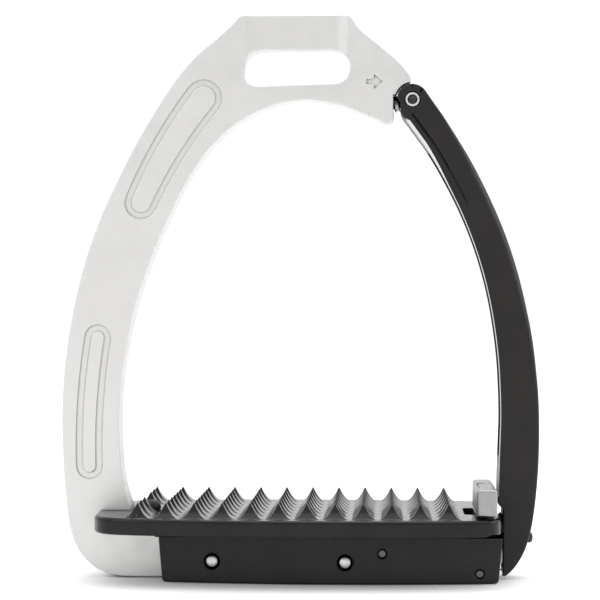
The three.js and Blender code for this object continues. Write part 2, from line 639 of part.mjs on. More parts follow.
function springSeat() {
  const profile = [[0, 21.9], [2.8, 21.9], [2.8, 32.2], [0, 32.2]];
  const pinHole = rodY(SMALL_PIN_R + 0.2, -THROUGH, THROUGH, SPRING_PIN.x, SPRING_PIN.z);
  return turnedX(profile, 0, PLUNGER_Z, 24).subtract(pinHole);
}

class Helix extends THREE.Curve {
  getPoint(t, target = new THREE.Vector3()) {
    const angle = 2 * Math.PI * SPRING.turns * t;
    const { from, to, coilR, wireR } = SPRING;
    const x = from + wireR + (to - from - 2 * wireR) * t;
    return target.set(x, coilR * Math.sin(angle), PLUNGER_Z + coilR * Math.cos(angle));
  }
}

function returnSpring() {
  const section = new THREE.Shape();
  section.absarc(0, 0, SPRING.wireR, 0, 2 * Math.PI, false);
  return new THREE.ExtrudeGeometry(section, {
    steps: 10 * SPRING.turns,
    curveSegments: 3,
    bevelEnabled: false,
    extrudePath: new Helix(),
  });
}

// ---------------------------------------------------------------- assembly

const fixed = new THREE.Group();
fixed.add(
  piece("frame", frameSolid(), SILVER),
  piece("hinge_stud", hingeStud(), STEEL),
  piece("hinge_collar", hingeCollar(), STEEL),
  piece("tread", treadSolid(), BLACK_TREAD),
  piece("tread_screw_top", treadScrewTop(), BLACK_STEEL),
  piece("tread_screw_base_left", treadScrewBase(BASE_SCREW_XS.left), STEEL),
  piece("tread_screw_base_right", treadScrewBase(BASE_SCREW_XS.right), STEEL),
  piece("housing_front", housingShell(-1), BLACK),
  piece("housing_rear", housingShell(1), BLACK),
  piece("cross_pin_left", crossPin(CROSS_PINS.left), SILVER),
  piece("cross_pin_right", crossPin(CROSS_PINS.right), SILVER),
  piece("lever_pivot_pin", smallPin(PIVOT), STEEL),
  piece("spring_retaining_pin", smallPin(SPRING_PIN), STEEL),
  piece("spring_seat", springSeat(), STEEL),
  piece("return_spring", returnSpring(), SPRING_STEEL),
);

const outerBranch = new THREE.Group();
outerBranch.add(
  piece("arm", armSolid(), BLACK),
  piece("hinge_pin", hingePin(), STEEL),
  piece("hinge_pin_nut", hingePinNut(), STEEL),
  piece("hinge_washer_front", hingeWasher(-1), NYLON),
  piece("hinge_washer_rear", hingeWasher(1), NYLON),
  piece("striker", striker(), STEEL),
  piece("striker_screw", strikerScrew(), BLACK_STEEL),
  piece("arm_bumper", armBumper(), RUBBER),
);

const lever = new THREE.Group();
lever.add(
  piece("release_lever", releaseLever(), STEEL),
  piece("lever_pedal", pedal(), SILVER),
  piece("pedal_screw", pedalScrew(), STEEL),
);

const slider = new THREE.Group();
slider.add(piece("lever_plunger", plunger(), STEEL));

const stirrup = new THREE.Group();
stirrup.add(fixed, outerBranch, lever, slider);

export default stirrup;
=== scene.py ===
"""Left-hand safety stirrup iron: looks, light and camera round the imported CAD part. Metres, Z up."""

import json
import math

import bmesh
import bpy
from mathutils import Matrix, Vector
from mathutils.geometry import tessellate_polygon


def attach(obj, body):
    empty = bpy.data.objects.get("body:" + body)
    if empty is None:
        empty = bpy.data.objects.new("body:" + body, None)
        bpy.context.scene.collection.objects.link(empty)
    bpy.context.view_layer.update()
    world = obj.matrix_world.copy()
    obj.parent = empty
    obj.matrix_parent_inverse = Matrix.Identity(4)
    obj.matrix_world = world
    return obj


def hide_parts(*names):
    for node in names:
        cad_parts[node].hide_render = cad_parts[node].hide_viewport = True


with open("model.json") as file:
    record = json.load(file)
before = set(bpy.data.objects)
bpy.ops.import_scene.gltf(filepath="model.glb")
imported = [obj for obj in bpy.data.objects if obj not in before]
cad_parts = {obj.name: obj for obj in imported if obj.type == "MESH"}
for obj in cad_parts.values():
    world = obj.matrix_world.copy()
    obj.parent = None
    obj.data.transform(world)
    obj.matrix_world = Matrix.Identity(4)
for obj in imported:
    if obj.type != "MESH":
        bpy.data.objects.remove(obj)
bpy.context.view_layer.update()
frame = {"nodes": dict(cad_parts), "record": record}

MM = 0.001

# ---------------------------------------------------------------- places, in millimetres

FRAME_HALF = 5.0
ARM_HALF = 6.0
HINGE = (34.7, 150.3)
ARM_INNER_EDGE = [
    (32.2, 144.2), (35.5, 139.6), (39.5, 134), (44, 126.4), (48.8, 117.1), (52.8, 107.7),
    (56, 98.2), (58.4, 88.8), (60.1, 79.4), (61.3, 69.8), (61.9, 60), (62.1, 51), (61.8, 42),
    (61.5, 33), (61.35, 26),
]
# Each list of stops gives a value at some heights, and it runs evenly between them.
CUT_RIM = {
    "width": 1.05,
    "depth": 0.9,
    "stops": [(0, 0.22), (122, 0.25), (136, 1), (143, 1), (144.2, 0.2), (200, 0.2)],
}
CREASE = {"inset": 2.9, "half": 0.55, "stops": [(108, 0.2), (118, 0.6), (130, 1), (200, 1)]}
ARM_OUTER_RIM = [(0, 0.8), (20, 0.9), (60, 1.2), (95, 2.8), (125, 3), (144, 0.7), (200, 0.55)]
STUD_TILT = math.radians(12)
TREAD = {"bottom": 15.8, "top": 21.0, "left": -64.0, "right": 61.5, "half": 33.3}
TREAD_HOLE = (-48.4, 0.0)
TREAD_SCREW_ROOM_R = 5.6
TEETH = {"columns": 12, "rows": 7, "pitch": 8.6, "height": 4.9, "centre_x": -1.95}
LEVER_SLOT = {"left": 50.7, "right": 60.2, "front": -13.0, "back": 7.0}
CROSS_PINS = {"cross_pin_left": (-27.3, 6.7), "cross_pin_right": (13.8, 6.7)}
SMALL_PINS = {"lever_pivot_pin": (55.2, 3.05), "spring_retaining_pin": (25.2, 9.5)}
STRIKER_SCREW_Z = 12.6
BUMPER_Z = 18.4
PLUNGER_Z = 9.5
PEDAL_SCREW = (56.9, -7.0, 29.7)
BASE_SCREWS = {"tread_screw_base_left": -10.0, "tread_screw_base_right": 19.5}


# ---------------------------------------------------------------- materials


class Recipe:
    """A procedural material on a Principled shader."""

    def __init__(self, name, **constants):
        self.material = bpy.data.materials.new(name)
        self.material.use_nodes = True
        self.nodes = self.material.node_tree.nodes
        self.links = self.material.node_tree.links
        self.shader = self.nodes["Principled BSDF"]
        for socket, value in constants.items():
            self.shader.inputs[socket.replace("_", " ")].default_value = value
        self.place = self.nodes.new("ShaderNodeTexCoord").outputs["Object"]
        self.normal = None

    def add(self, kind, inputs=None, **settings):
        node = self.nodes.new("ShaderNode" + kind)
        for name, value in settings.items():
            setattr(node, name, value)
        for name, value in (inputs or {}).items():
            if isinstance(value, bpy.types.NodeSocket):
                self.links.new(value, node.inputs[name])
            else:
                node.inputs[name].default_value = value
        return node

    def stretched(self, scale, location=(0, 0, 0)):
        inputs = {"Vector": self.place, "Scale": scale, "Location": location}
        return self.add("Mapping", inputs).outputs["Vector"]

    def noise(self, size, detail=3.0, roughness=0.55, vector=None):
        """Noise whose features are about size metres across."""
        inputs = {
            "Vector": vector or self.place,
            "Scale": 1 / size,
            "Detail": detail,
            "Roughness": roughness,
        }
        return self.add("TexNoise", inputs).outputs["Fac"]

    def ramp(self, value, low, high, to_low=0.0, to_high=1.0):
        inputs = {
            "Value": value,
            "From Min": low,
            "From Max": high,
            "To Min": to_low,
            "To Max": to_high,
        }
        return self.add("MapRange", inputs, interpolation_type="SMOOTHSTEP").outputs["Result"]

    def times(self, a, b):
        return self.add("Math", {0: a, 1: b}, operation="MULTIPLY").outputs["Value"]

    def blend(self, factor, a, b):
        node = self.add("Mix", data_type="RGBA")
        for socket, value in ((node.inputs[6], a), (node.inputs[7], b)):
            if isinstance(value, bpy.types.NodeSocket):
                self.links.new(value, socket)
            else:
                socket.default_value = (*value, 1)
        self.links.new(factor, node.inputs[0])
        return node.outputs[2]

    def edges(self, radius):
        """1 along edges whose rounding is smaller than the radius, else 0."""
        bent = self.add("Bevel", {"Radius": radius}, samples=6).outputs["Normal"]
        plain = self.add("NewGeometry").outputs["Normal"]
        dot = self.add("VectorMath", {0: bent, 1: plain}, operation="DOT_PRODUCT")
        return self.ramp(dot.outputs["Value"], 1.0, 0.9)

    def crevice_shade(self, reach):
        """1 in corners and fine grooves narrower than the reach, else 0: the mask where shade is
        painted.
        """
        open_sky = self.add("AmbientOcclusion", {"Distance": reach}, samples=8).outputs["AO"]
        return self.ramp(open_sky, 0.95, 0.45)

    def bump(self, height, distance, strength=1.0):
        inputs = {"Height": height, "Distance": distance, "Strength": strength}
        if self.normal is not None:
            inputs["Normal"] = self.normal
        self.normal = self.add("Bump", inputs).outputs["Normal"]
        self.links.new(self.normal, self.shader.inputs["Normal"])

    def colour(self, socket):
        self.links.new(socket, self.shader.inputs["Base Color"])

    def rough(self, socket):
        self.links.new(socket, self.shader.inputs["Roughness"])


def blasted_aluminium():
    """Bead-blasted, clear anodised aluminium with rubbed edges, and painted shade in its corners and
    grooves.
    """
    r = Recipe("blasted_aluminium", Metallic=1.0)
    grain = r.noise(0.00022, 2.0)
    cloud = r.noise(0.024, 4.0)
    handled = r.noise(0.007, 5.0, 0.65)
    base = r.blend(r.ramp(cloud, 0.32, 0.68), (0.662, 0.656, 0.65), (0.697, 0.69, 0.682))
    grained = r.blend(r.ramp(grain, 0.3, 0.7), (0.628, 0.621, 0.614), base)
    # Painted shade: corners and grooves turn dark grey.
    corner_shaded = r.blend(r.crevice_shade(0.0012), grained, (0.12, 0.116, 0.112))
    wear_and_highlight = r.times(r.edges(0.0003), r.ramp(handled, 0.35, 0.6, 0.0, 0.3))
    r.colour(r.blend(wear_and_highlight, corner_shaded, (0.72, 0.717, 0.712)))
    satin = r.ramp(handled, 0.3, 0.7, 0.4, 0.49)
    r.rough(satin)
    r.bump(grain, 0.00003, 0.3)
    r.bump(cloud, 0.00025, 0.12)
    return r.material


def black_anodised():
    """Satin black anodised aluminium: fine grain, faint cloudiness, edges rubbed lighter, painted
    shade in corners and grooves.
    """
    r = Recipe("black_anodised", Specular_IOR_Level=0.24)
    grain = r.noise(0.00018, 2.0)
    cloud = r.noise(0.016, 4.0)
    patches = r.noise(0.0045, 6.0, 0.7)
    base = r.blend(r.ramp(cloud, 0.3, 0.7), (0.0075, 0.0068, 0.0064), (0.0125, 0.0113, 0.0106))
    grained = r.blend(r.ramp(grain, 0.35, 0.75), base, (0.019, 0.0172, 0.0162))
    wear_and_highlight = r.times(r.edges(0.0004), r.ramp(patches, 0.45, 0.62, 0.0, 0.55))
    # Painted shade: corners, grooves and the crease turn near black.
    corner_shaded = r.blend(r.crevice_shade(0.0012), grained, (0.001, 0.001, 0.001))
    r.colour(r.blend(wear_and_highlight, corner_shaded, (0.13, 0.128, 0.125)))
    r.rough(r.ramp(patches, 0.3, 0.75, 0.33, 0.44))
    r.bump(grain, 0.000025, 0.28)
    r.bump(cloud, 0.0002, 0.1)
    return r.material


def tread_black():
    """Tread casting with a smooth black coating that catches the light at a low angle; its ridges and
    edges are painted lighter, partly rubbed coating and partly painted highlight.
    """
    r = Recipe("tread_black", Specular_IOR_Level=0.24)
    grain = r.noise(0.0003, 3.0)
    cloud = r.noise(0.012, 4.0)
    patches = r.noise(0.003, 6.0, 0.7)
    base = r.blend(r.ramp(cloud, 0.3, 0.7), (0.0045, 0.0041, 0.0039), (0.0085, 0.0078, 0.0074))
    # Painted highlight along the tooth ridges and edges, partly rubbed coating as well.
    wear_and_highlight = r.times(r.edges(0.0003), r.ramp(patches, 0.36, 0.58, 0.25, 0.85))
    r.colour(r.blend(wear_and_highlight, base, (0.3, 0.296, 0.29)))
    r.rough(r.ramp(patches, 0.3, 0.75, 0.13, 0.23))
    r.bump(grain, 0.00002, 0.12)
    r.bump(cloud, 0.0002, 0.06)
    return r.material


def turned_steel(name, centre, axis, tone=0.66, rough=(0.2, 0.34)):
    """Steel with fine turning rings about its own axis, with painted shade in its corners and sockets.
    centre is in millimetres.
    """
    r = Recipe(name, Metallic=1.0)
    away = [-c * MM for c in centre]
    local = r.stretched((1, 1, 1), away)
    rings = r.add(
        "TexWave",
        {"Vector": local, "Scale": 1100.0, "Distortion": 0.6, "Detail": 1.0},
        wave_type="RINGS",
        rings_direction=axis,
    ).outputs["Fac"]
    stain = r.noise(0.0025, 5.0, 0.65)
    fine = r.noise(0.0002, 2.0)
    light = (tone, tone * 1.005, tone * 1.01)
    dull = (tone * 0.8, tone * 0.8, tone * 0.79)
    stained = r.blend(r.ramp(stain, 0.35, 0.7), light, dull)
    # Painted shade: corners, sockets and bores turn near black.
    r.colour(r.blend(r.crevice_shade(0.0022), stained, (0.008, 0.008, 0.008)))
    r.rough(r.ramp(stain, 0.3, 0.7, *rough))
    r.bump(rings, 0.00001, 0.35)
    r.bump(fine, 0.00001, 0.3)
    return r.material


def brushed_metal(name, tone, along, rough=(0.3, 0.42)):
    """Metal with straight brush marks. along is the axis that the marks run in."""
    r = Recipe(name, Metallic=1.0)
    scale = tuple(0.04 if a == along else 1.0 for a in "xyz")
    marks = r.noise(0.00016, 3.0, 0.6, r.stretched(scale))
    cloud = r.noise(0.006, 4.0)
    light = (tone, tone, tone * 1.005)
    dull = (tone * 0.84, tone * 0.84, tone * 0.84)
    streaked = r.blend(r.ramp(marks, 0.3, 0.7), dull, light)
    wear_and_highlight = r.times(r.edges(0.0004), r.ramp(cloud, 0.35, 0.6))
    r.colour(r.blend(wear_and_highlight, streaked, (0.9, 0.9, 0.9)))
    r.rough(r.ramp(cloud, 0.3, 0.7, *rough))
    r.bump(marks, 0.00002, 0.35)
    return r.material


def nylon():
    r = Recipe("nylon", Roughness=0.5)
    cloud = r.noise(0.002, 4.0)
    r.colour(r.blend(cloud, (0.74, 0.73, 0.68), (0.84, 0.83, 0.79)))
    r.rough(r.ramp(cloud, 0.3, 0.7, 0.42, 0.58))
    r.bump(r.noise(0.0003, 2.0), 0.00003, 0.3)
    return r.material


def rubber():
    r = Recipe("rubber", Specular_IOR_Level=0.35)
    cloud = r.noise(0.001, 4.0)
    r.colour(r.blend(cloud, (0.012, 0.012, 0.012), (0.03, 0.03, 0.029)))
    r.rough(r.ramp(cloud, 0.3, 0.7, 0.7, 0.9))
    r.bump(cloud, 0.00006, 0.4)
    return r.material


def floor_finish():
    r = Recipe("pale_floor", Specular_IOR_Level=0.25, Emission_Strength=0.06)
    cloud = r.noise(0.25, 3.0)
    r.colour(r.blend(cloud, (0.86, 0.86, 0.855), (0.885, 0.885, 0.88)))
    r.rough(r.ramp(cloud, 0.3, 0.7, 0.6, 0.75))
    return r.material


ALUMINIUM = blasted_aluminium()
BLACK = black_anodised()
TREAD_BLACK = tread_black()
BRUSHED_PEDAL = brushed_metal("brushed_pedal", 0.36, "z", (0.34, 0.44))
# Bright metal for the wedge along the black branch's inner edge: a painted highlight for the glint
# along that edge.
PAINTED_HIGHLIGHT_EDGE = brushed_metal("painted_highlight_edge", 0.62, "x", (0.25, 0.35))
BRUSHED_STEEL = brushed_metal("brushed_steel", 0.6, "x", (0.24, 0.34))
SPRING_WIRE = brushed_metal("spring_wire", 0.5, "y", (0.22, 0.32))
NYLON = nylon()
RUBBER = rubber()
FLOOR = floor_finish()

# ---------------------------------------------------------------- mesh helpers


def finish_piece(name, bm, material, node, smooth=40):
    """Turns a bmesh in metres into a piece that stands for a CAD node and rides on its body."""
    bmesh.ops.recalc_face_normals(bm, faces=bm.faces)
    mesh = bpy.data.meshes.new(name)
    bm.to_mesh(mesh)
    bm.free()
    for face in mesh.polygons:
        face.use_smooth = True
    mesh.set_sharp_from_angle(angle=math.radians(smooth))
    mesh.materials.append(material)
    piece = bpy.data.objects.new(name, mesh)
    bpy.context.scene.collection.objects.link(piece)
    body = next(b for b, nodes in frame["record"]["behaviour"]["bodies"].items() if node in nodes)
    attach(piece, body)
    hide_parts(node)
    return piece


def even_normals(piece):
    modifier = piece.modifiers.new("even_normals", "WEIGHTED_NORMAL")
    modifier.keep_sharp = True
    modifier.weight = 100


def scaled(bm):
    bmesh.ops.scale(bm, vec=(MM, MM, MM), verts=bm.verts)
    return bm


def cad_copy(node):
    """The CAD node's mesh in millimetres, with flat areas merged."""
    bm = bmesh.new()
    bm.from_mesh(frame["nodes"][node].data)
    bmesh.ops.scale(bm, vec=(1 / MM, 1 / MM, 1 / MM), verts=bm.verts)
    bmesh.ops.remove_doubles(bm, verts=bm.verts, dist=0.002)
    bmesh.ops.dissolve_limit(bm, angle_limit=math.radians(0.25), verts=bm.verts, edges=bm.edges)
    return bm


def reach(face, edge):
    """How far a face extends from one of its edges."""
    a, b = edge.verts[0].co, edge.verts[1].co
    along = (b - a).normalized()
    best = 0.0
    for v in face.verts:
        d = v.co - a
        best = max(best, (d - along * d.dot(along)).length)
    return best


def rounded(
    name, bm, material, node, width, width_at=None, segments=3, smooth=30, split=False
):
    """A piece whose sharp edges are rounded, as far as the faces beside them allow."""
    bm.normal_update()
    layer = bm.edges.layers.float.new("bevel_weight_edge")
    widest = max(width, 0.001)
    chosen = {}
    for edge in bm.edges:
        if len(edge.link_faces) != 2 or edge.calc_length() < 1e-4:
            continue
        if edge.calc_face_angle(0.0) < math.radians(28):
            continue
        room = min(reach(f, edge) for f in edge.link_faces)
        wanted = width_at(edge) if width_at else width
        chosen[edge] = min(wanted, 0.3 * room)
        widest = max(widest, chosen[edge])
    for edge, value in chosen.items():
        edge[layer] = value / widest
    wide = [f for f in bm.faces if split and len(f.verts) > 4]
    bmesh.ops.triangulate(bm, faces=wide, quad_method="BEAUTY", ngon_method="BEAUTY")
    piece = finish_piece(name, scaled(bm), material, node, smooth)
    bevel = piece.modifiers.new("rounding", "BEVEL")
    bevel.limit_method = "WEIGHT"
    bevel.width = widest * MM
    bevel.segments = segments
    bevel.use_clamp_overlap = False
    bevel.loop_slide = False
    even_normals(piece)
    return piece


def ring_of(bm, radius, along, sides):
    if radius < 1e-6:
        return [bm.verts.new((0, 0, along))]
    turn = 2 * math.pi / sides
    return [
        bm.verts.new((radius * math.cos(i * turn), radius * math.sin(i * turn), along))
        for i in range(sides)
    ]


def bridge(bm, a, b):
    """Faces between two rings of the same count, or between a ring and a single point."""
    n = max(len(a), len(b))
    for i in range(n):
        j = (i + 1) % n
        if len(a) == 1:
            bm.faces.new((a[0], b[j], b[i]))
        elif len(b) == 1:
            bm.faces.new((a[i], a[j], b[0]))
        else:
            bm.faces.new((a[i], a[j], b[j], b[i]))


def lathe(profile, sides=48, closed=False):
    """A turned solid about Z. The profile lists (radius, distance along the axis)."""
    bm = bmesh.new()
    rings = [ring_of(bm, r, a, sides) for r, a in profile]
    for a, b in zip(rings, rings[1:]):
        bridge(bm, a, b)
    if closed:
        bridge(bm, rings[-1], rings[0])
    return bm


def softened(profile, radius, steps=3):
    """The profile with its inner corners rounded."""
    out = [profile[0]]
    for before, at, after in zip(profile, profile[1:], profile[2:]):
        p, q, n = Vector(before), Vector(at), Vector(after)
        room = min((q - p).length, (n - q).length)
        r = min(radius, room * 0.45)
        if r < 1e-4:
            out.append(at)
            continue
        start = q + (p - q).normalized() * r
        end = q + (n - q).normalized() * r
        for i in range(steps + 1):
            t = i / steps
            out.append(tuple(start * (1 - t) ** 2 + q * 2 * t * (1 - t) + end * t * t))
    out.append(profile[-1])
    return out


def onto(bm, axis, place, tilt=0.0):
    """Turns a solid made about Z to lie along an axis, then moves it."""
    turns = {
        "x": Matrix.Rotation(math.pi / 2, 4, "Y"),
        "y": Matrix.Rotation(-math.pi / 2, 4, "X"),
        "z": Matrix.Identity(4),
        "-z": Matrix.Rotation(math.pi, 4, "X"),
    }
    matrix = Matrix.Translation(place) @ Matrix.Rotation(-tilt, 4, "Y") @ turns[axis]
    bmesh.ops.transform(bm, matrix=matrix, verts=bm.verts)
    return bm


def turned(node, profile, axis, place, material, tilt=0.0, soften=0.12, closed=False):
    shape = softened(profile, soften) if soften else profile
    bm = onto(lathe(shape, closed=closed), axis, place, tilt)
    piece = finish_piece(node + "_turned", scaled(bm), material, node)
    even_normals(piece)
    return piece


def cut_with(piece, bm_tool, tool_name):
    """Cuts a tool mesh, in millimetres, out of a piece and applies the cut."""
    bmesh.ops.recalc_face_normals(bm_tool, faces=bm_tool.faces)
    mesh = bpy.data.meshes.new(tool_name)
    scaled(bm_tool).to_mesh(mesh)
    bm_tool.free()
    tool = bpy.data.objects.new(tool_name, mesh)
    bpy.context.scene.collection.objects.link(tool)
    modifier = piece.modifiers.new(tool_name, "BOOLEAN")
    modifier.object = tool
    modifier.operation = "DIFFERENCE"
    modifier.solver = "EXACT"
    while piece.modifiers[0] != modifier:
        with bpy.context.temp_override(object=piece):
            bpy.ops.object.modifier_move_up(modifier=modifier.name)
    with bpy.context.temp_override(object=piece):
        bpy.ops.object.modifier_apply(modifier=modifier.name)
    bpy.data.objects.remove(tool)


def bezier(a, b, c, d, count=10):
    points = []
    for i in range(count):
        t = i / count
        u = 1 - t
        x = u**3 * a[0] + 3 * u * u * t * b[0] + 3 * u * t * t * c[0] + t**3 * d[0]
        y = u**3 * a[1] + 3 * u * u * t * b[1] + 3 * u * t * t * c[1] + t**3 * d[1]
        points.append((x, y))
    return points


def offset_loop(loop, distance):
    """The loop moved to its left by a distance, with mitred corners."""
    out = []
    for i, at in enumerate(loop):
        p, q, n = Vector(loop[i - 1]), Vector(at), Vector(loop[(i + 1) % len(loop)])
        before, after = (q - p).normalized(), (n - q).normalized()
        n1, n2 = Vector((-before.y, before.x)), Vector((-after.y, after.x))
        push = (n1 + n2) / max(0.35, 1 + n1.dot(n2))
        out.append(tuple(q + push * distance))
    return out


def slab(loops, bottom, top, rims):
    """A plate between two heights. The first loop runs anticlockwise and holes run clockwise.
    Each loop has its own rims: lists of (inset, height) for its bottom and top edges."""
    bm = bmesh.new()
    caps = {"bottom": [], "top": []}
    for loop, (low_rim, high_rim) in zip(loops, rims):
        stack = [(inset, bottom + rise) for inset, rise in low_rim]
        stack += [(inset, top - drop) for inset, drop in reversed(high_rim)]
        rings = [[bm.verts.new((x, y, z)) for x, y in offset_loop(loop, d)] for d, z in stack]
        for a, b in zip(rings, rings[1:]):
            bridge(bm, a, b)
        caps["bottom"].append(rings[0])
        caps["top"].append(rings[-1])
    for rings in caps.values():
        flat = [v for ring in rings for v in ring]
        lines = [[Vector((v.co.x, v.co.y, 0)) for v in ring] for ring in rings]
        for triangle in tessellate_polygon(lines):
            bm.faces.new([flat[i] for i in triangle])
    return bm


def round_rim(radius, steps=4):
    """(inset, drop) pairs of a rounded edge, from the flat face to the wall."""
    pairs = []
    for i in range(steps + 1):
        angle = math.pi / 2 * i / steps
        pairs.append((radius * (1 - math.sin(angle)), radius * (1 - math.cos(angle))))
    return pairs


# ---------------------------------------------------------------- frame


def frame_plate():
    return rounded("frame_plate", cad_copy("frame"), ALUMINIUM, "frame", 0.3)


# ---------------------------------------------------------------- outer branch


def through(points, steps=3):
    """A smooth line through the points."""
    ends = [points[0], *points, points[-1]]
    out = []
    for p, q, r, t in zip(ends, ends[1:], ends[2:], ends[3:]):
        for i in range(steps):
            u = i / steps
            weights = (
                (-u + 2 * u * u - u**3) / 2,
                (2 - 5 * u * u + 3 * u**3) / 2,
                (u + 4 * u * u - 3 * u**3) / 2,
                (-u * u + u**3) / 2,
            )
            out.append(tuple(sum(w * v[k] for w, v in zip(weights, (p, q, r, t))) for k in (0, 1)))
    return [*out, points[-1]]


def steps_at(z, stops):
    """A value from a list of (height, value), even between them."""
    for (z0, w0), (z1, w1) in zip(stops, stops[1:]):
        if z <= z1:
            return w0 + (w1 - w0) * max(0.0, z - z0) / (z1 - z0)
    return stops[-1][1]


def along_edge(line, side, section_at):
    """A closed tool that follows a line. section_at gives its section at a height, as
    (distance into the branch, distance from the middle plane)."""
    bm = bmesh.new()
    rings = []
    for i, (x, z) in enumerate(line):
        p, q = Vector(line[max(0, i - 1)]), Vector(line[min(len(line) - 1, i + 1)])
        along = (q - p).normalized()
        inward = Vector((-along.y, along.x))
        rings.append(
            [
                bm.verts.new((x + inward.x * a, side * y, z + inward.y * a))
                for a, y in section_at(z)
            ]
        )
    for a, b in zip(rings, rings[1:]):
        bridge(bm, a, b)
    bm.faces.new(rings[0])
    bm.faces.new(rings[-1])
    return bm


def cut_rim_section(z):
    """The wedge that is cut off along the inner edge."""
    share = steps_at(z, CUT_RIM["stops"])
    w, d = CUT_RIM["width"] * share, CUT_RIM["depth"] * share
    slope = d / w
    return [
        (-1.0, ARM_HALF - d - slope),
        (w + 0.4, ARM_HALF + 0.4 * slope),
        (w + 0.4, ARM_HALF + 2),
        (-1.0, ARM_HALF + 2),
    ]


def crease_section(z):
    """The fine groove beside the inner edge of the solid part."""
    away = CREASE["inset"]
    half = CREASE["half"] * steps_at(z, CREASE["stops"])
    return [
        (away - half, ARM_HALF + 0.05),
        (away, ARM_HALF - 1.3 * half),
        (away + half, ARM_HALF + 0.05),
        (away, ARM_HALF + 1),
    ]


def on_cut_rim(face, line):
    """True for the faces of the bright wedge along the inner edge, which carry the painted highlight.
    """
    centre, normal = face.center / MM, face.normal
    if not 0.3 < abs(normal.y) < 0.97 or centre.z > line[0][1] or centre.z < line[-1][1]:
        return False
    near = min(math.hypot(centre.x - x, centre.z - z) for x, z in line)
    return normal.x < 0 and near < 2.6 and abs(centre.y) > ARM_HALF - CUT_RIM["depth"] - 0.2


def arm_rim_width(edge):
    """Edge rounding of the outer branch: wide on the outer edge, tighter by the hinge."""
    middle = (edge.verts[0].co + edge.verts[1].co) / 2
    normal_x = max(f.normal.x * (1 if abs(f.normal.y) < 0.5 else 0) for f in edge.link_faces)
    if abs(abs(middle.y) - ARM_HALF) > 0.4:
        return 0.25
    if normal_x > 0.15:
        return steps_at(middle.z, ARM_OUTER_RIM)
    return 0.4


def outer_branch():
    bm = cad_copy("arm")
    line = through(ARM_INNER_EDGE)
    mesh = bpy.data.meshes.new("branch_blank")
    scaled(bm).to_mesh(mesh)
    bm.free()
    blank = bpy.data.objects.new("branch_blank", mesh)
    bpy.context.scene.collection.objects.link(blank)
    creased = [p for p in line if p[1] > CREASE["stops"][0][0]]
    for side in (-1, 1):
        cut_with(blank, along_edge(line, side, cut_rim_section), "cut_rim")
        cut_with(blank, along_edge(creased, side, crease_section), "crease")
    bm = bmesh.new()
    bm.from_mesh(blank.data)
    bpy.data.objects.remove(blank)
    bmesh.ops.scale(bm, vec=(1 / MM, 1 / MM, 1 / MM), verts=bm.verts)
    bmesh.ops.remove_doubles(bm, verts=bm.verts, dist=0.002)
    bmesh.ops.dissolve_limit(bm, angle_limit=math.radians(0.25), verts=bm.verts, edges=bm.edges)
    piece = rounded(
        "branch", bm, BLACK, "arm", 0.4, arm_rim_width, segments=4, smooth=9,
        split=True,
    )
    # Painted highlight: the wedge along the inner edge gets bright metal.
    piece.data.materials.append(PAINTED_HIGHLIGHT_EDGE)
    for face in piece.data.polygons:
        if on_cut_rim(face, line):
            face.material_index = 1
    return piece


# ---------------------------------------------------------------- tread


def tread_loop():
    left, right, half = TREAD["left"], TREAD["right"], TREAD["half"]
    notch_x, notch_y = -53.3, FRAME_HALF + 0.3
    loop = [(left, -notch_y)]
    loop += [(left, -8.0), (left, -11.0)]
    loop += bezier((left, -14), (left, -23), (left + 3.4, -26.6), (left + 11.5, -28.3))
    loop += bezier((left + 11.5, -28.3), (-34, -32), (-18, -half), (6, -half), 16)
    loop += bezier((6, -half), (22, -half), (40, -half + 1.2), (53, -half + 3), 12)
    loop += bezier((53, -half + 3), (58, -half + 3.9), (right, -27), (right, -21), 8)
    loop += [(right, y) for y in range(-21, 21, 6)]
    loop += bezier((right, 21), (right, 27), (58, half - 3.9), (53, half - 3), 8)
    loop += bezier((53, half - 3), (40, half - 1.2), (22, half), (6, half), 12)
    loop += bezier((6, half), (-18, half), (-34, 32), (left + 11.5, 28.3), 16)
    loop += bezier((left + 11.5, 28.3), (left + 3.4, 26.6), (left, 23), (left, 14))
    loop += [(left, 14), (left, 11.0), (left, 8.0), (left, notch_y)]
    loop += [(notch_x - 5, notch_y), (notch_x, notch_y), (notch_x, 0), (notch_x, -notch_y)]
    loop += [(notch_x - 5, -notch_y)]
    return loop


def slot_loop():
    s, r = LEVER_SLOT, 1.8
    loop = []
    corners = [(s["right"] - r, s["front"] + r, 270), (s["left"] + r, s["front"] + r, 180)]
    corners += [(s["left"] + r, s["back"] - r, 90), (s["right"] - r, s["back"] - r, 0)]
    for cx, cy, start in corners:
        for i in range(7):
            angle = math.radians(start + 90 - 15 * i)
            loop.append((cx + r * math.cos(angle), cy + r * math.sin(angle)))
    return loop


def circle_loop(x, y, r, sides=40):
    """Clockwise, as a hole."""
    turn = -2 * math.pi / sides
    return [(x + r * math.cos(i * turn), y + r * math.sin(i * turn)) for i in range(sides)]


def flank(distance):
    """A tooth's height share at a distance from its middle line: hollow, with a blunt tip."""
    tip_half, foot = 0.28, 3.72
    if distance < tip_half:
        return 0.985 - 0.1 * (distance / tip_half) ** 2
    t = max(0.0, min(1.0, (distance - tip_half) / foot))
    return (1 - t) ** 1.85 * 0.885


def distance_inside(point, loop):
    """Distance from a point to the loop, negative outside."""
    x, y = point
    best, inside = 1e9, False
    for (x0, y0), (x1, y1) in zip(loop, loop[1:] + loop[:1]):
        dx, dy = x1 - x0, y1 - y0
        t = max(0.0, min(1.0, ((x - x0) * dx + (y - y0) * dy) / (dx * dx + dy * dy)))
        best = min(best, math.hypot(x - x0 - t * dx, y - y0 - t * dy))
        if (y0 > y) != (y1 > y) and x < x0 + (y - y0) * dx / dy:
            inside = not inside
    return best if inside else -best


